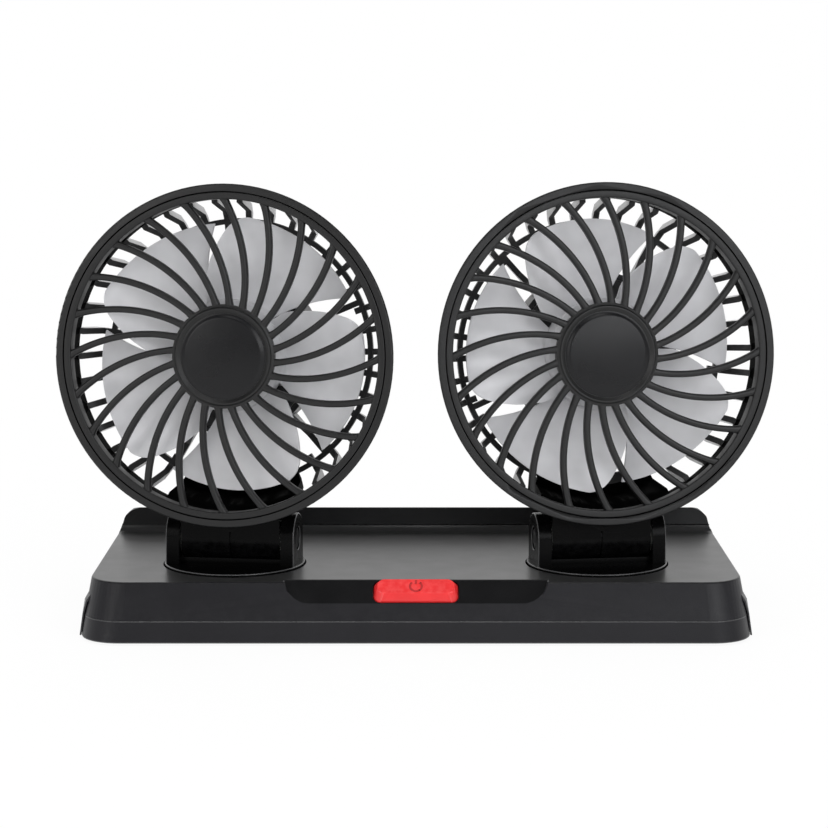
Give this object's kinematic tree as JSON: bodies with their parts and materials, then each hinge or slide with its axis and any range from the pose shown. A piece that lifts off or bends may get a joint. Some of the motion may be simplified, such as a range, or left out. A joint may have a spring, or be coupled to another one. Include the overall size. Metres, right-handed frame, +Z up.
{
  "type": "dual head car fan",
  "caption": "Black dashboard fan with a pair of round caged heads on swivel yokes over a flat rectangular base with a red push button; heads turn, tilt and spin.",
  "frame": {"origin": "middle of the face that the base stands on", "axes": "+X along the base to the user's right as they face the fan, -Y to the front, +Z up"},
  "size_m": [0.2643, 0.1156, 0.1645],
  "materials": {
    "base_plastic": "satin black moulding with a fine grain",
    "trim_plastic": "satin black moulding",
    "guard_plastic": "matt black moulding",
    "cap_plastic": "satin black disc",
    "blade_plastic": "satin pale grey, slightly milky",
    "button_red": "satin red moulding",
    "switch_plastic": "moulded",
    "slip_plastic": "white slip plastic",
    "pad_rubber": "soft matt rubber",
    "board_laminate": "circuit board laminate",
    "steel": "zinc plated",
    "motor_steel": "drawn steel can",
    "bush_brass": "sintered bush"
  },
  "bodies": {
    "base": {"base_top_cover": "base_plastic", "base_bottom_cover": "base_plastic", "cover_screws": "steel", "anti_slip_pad": "pad_rubber", "right_end_trim": "trim_plastic", "left_end_trim": "trim_plastic", "push_switch": "switch_plastic", "control_board": "board_laminate", "board_screws": "steel", "cable_gland": "pad_rubber", "left_swivel_washer": "slip_plastic", "right_swivel_washer": "slip_plastic"},
    "button": {"power_button": "button_red", "switch_plunger": "switch_plastic"},
    "left_swivel": {"left_swivel_yoke": "base_plastic", "left_swivel_retainer": "base_plastic", "left_swivel_screws": "steel", "left_tilt_pin": "steel", "left_tilt_nut": "steel", "left_tilt_washers": "slip_plastic"},
    "left_head": {"left_rear_guard": "guard_plastic", "left_front_guard": "guard_plastic", "left_centre_cap": "cap_plastic", "left_motor": "motor_steel", "left_motor_bush": "bush_brass", "left_motor_holder": "base_plastic", "left_motor_screws": "steel"},
    "left_rotor": {"left_fan_rotor": "blade_plastic", "left_motor_shaft": "steel"},
    "right_swivel": {"right_swivel_yoke": "base_plastic", "right_swivel_retainer": "base_plastic", "right_swivel_screws": "steel", "right_tilt_pin": "steel", "right_tilt_nut": "steel", "right_tilt_washers": "slip_plastic"},
    "right_head": {"right_rear_guard": "guard_plastic", "right_front_guard": "guard_plastic", "right_centre_cap": "cap_plastic", "right_motor": "motor_steel", "right_motor_bush": "bush_brass", "right_motor_holder": "base_plastic", "right_motor_screws": "steel"},
    "right_rotor": {"right_fan_rotor": "blade_plastic", "right_motor_shaft": "steel"}
  },
  "joints": [
    {"name": "left_swivel_turn", "type": "hinge", "parent": "base", "child": "left_swivel", "pos_m": [-0.0679, -0.0156, 0.0218], "axis": [0, 0, 1], "range_deg": [-172.1, 187.9]},
    {"name": "left_tilt", "type": "hinge", "parent": "left_swivel", "child": "left_head", "pos_m": [-0.0679, -0.0156, 0.0318], "axis": [-0.9905, 0.1374, 0], "range_deg": [-39, 56]},
    {"name": "left_fan_spin", "type": "hinge", "parent": "left_head", "child": "left_rotor", "pos_m": [-0.06724, -0.01087, 0.10013], "axis": [-0.1371, -0.9881, 0.0698], "continuous": true},
    {"name": "right_swivel_turn", "type": "hinge", "parent": "base", "child": "right_swivel", "pos_m": [0.0679, -0.0156, 0.0218], "axis": [0, 0, 1], "range_deg": [-188.3, 171.7]},
    {"name": "right_tilt", "type": "hinge", "parent": "right_swivel", "child": "right_head", "pos_m": [0.0679, -0.0156, 0.0318], "axis": [-0.9895, -0.1444, 0], "range_deg": [-41, 54]},
    {"name": "right_fan_spin", "type": "hinge", "parent": "right_head", "child": "right_rotor", "pos_m": [0.06687, -0.00851, 0.09992], "axis": [0.1436, -0.9841, 0.1045], "continuous": true},
    {"name": "button_press", "type": "slide", "parent": "base", "child": "button", "axis": [0, 0.6691, -0.7431], "range_m": [0, 0.001], "stiffness_N_per_m": 600}
  ]
}
